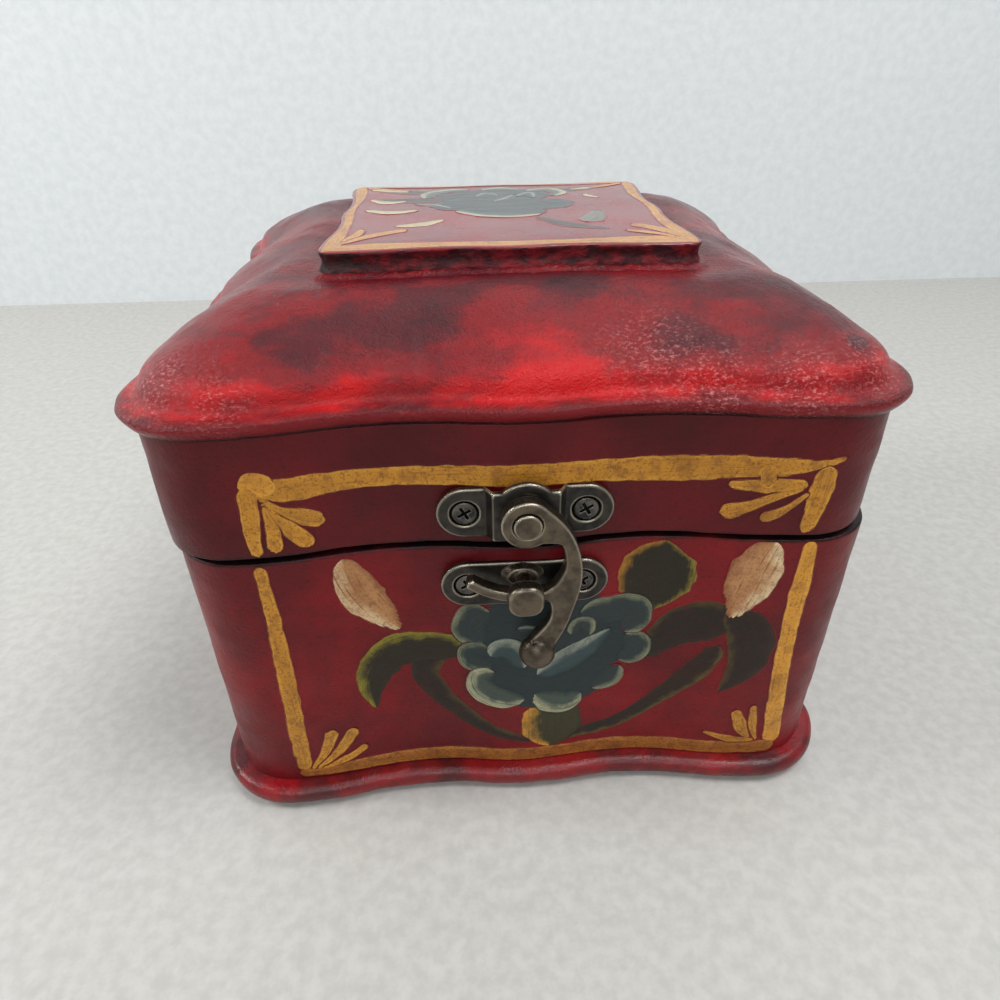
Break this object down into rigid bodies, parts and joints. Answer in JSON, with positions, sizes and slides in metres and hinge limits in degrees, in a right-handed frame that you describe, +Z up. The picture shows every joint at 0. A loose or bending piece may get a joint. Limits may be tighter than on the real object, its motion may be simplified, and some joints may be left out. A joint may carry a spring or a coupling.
{
  "type": "jewelry box",
  "caption": "Small square keepsake box with serpentine sides, a pillowed hinged lid with a raised panel, painted folk flowers and a swing-hook latch.",
  "frame": {"origin": "centre of the underside, at table height, on the middle of the base's outline", "axes": "+Z up, the front with the latch faces -Y, +X to the right of a person who faces the latch"},
  "size_m": [0.1342, 0.1341, 0.107],
  "materials": {
    "lacquered_wood": "glossy dark red lacquer over a finely wrinkled skin, with painted ornament",
    "velvet": "short-pile velvet on card",
    "felt": "thin felt",
    "antique_bronze": "antique bronze, bright on worn edges",
    "screw_bronze": "dark antique bronze",
    "hinge_brass": "dulled brass"
  },
  "bodies": {
    "base": {"plinth_board": "lacquered_wood", "underside_felt": "felt", "base_front_wall": "lacquered_wood", "base_back_wall": "lacquered_wood", "base_left_wall": "lacquered_wood", "base_right_wall": "lacquered_wood", "floor_pad": "velvet", "base_front_lining": "velvet", "base_back_lining": "velvet", "base_left_lining": "velvet", "base_right_lining": "velvet", "left_hinge_lower_leaf": "hinge_brass", "right_hinge_lower_leaf": "hinge_brass", "left_hinge_pin": "hinge_brass", "right_hinge_pin": "hinge_brass", "hinge_screws_lower": "screw_bronze", "catch_plate": "antique_bronze", "catch_post": "antique_bronze", "catch_screws": "screw_bronze"},
    "lid": {"lid_front_wall": "lacquered_wood", "lid_back_wall": "lacquered_wood", "lid_left_wall": "lacquered_wood", "lid_right_wall": "lacquered_wood", "lid_dome": "lacquered_wood", "top_panel": "lacquered_wood", "lid_crown_lining": "velvet", "lid_front_lining": "velvet", "lid_back_lining": "velvet", "lid_left_lining": "velvet", "lid_right_lining": "velvet", "left_hinge_upper_leaf": "hinge_brass", "right_hinge_upper_leaf": "hinge_brass", "hinge_screws_upper": "screw_bronze", "latch_plate": "antique_bronze", "latch_rivet": "antique_bronze", "latch_screws": "screw_bronze"},
    "hook": {"swing_hook": "antique_bronze"}
  },
  "joints": [
    {"name": "lid_hinge", "type": "hinge", "parent": "base", "child": "lid", "pos_m": [0, 0.0634, 0.0635], "axis": [-1, 0, 0], "range_deg": [0, 100]},
    {"name": "hook_swing", "type": "hinge", "parent": "lid", "child": "hook", "pos_m": [-0.0011, -0.0635, 0.0709], "axis": [0, -1, 0], "range_deg": [0, 110]}
  ]
}
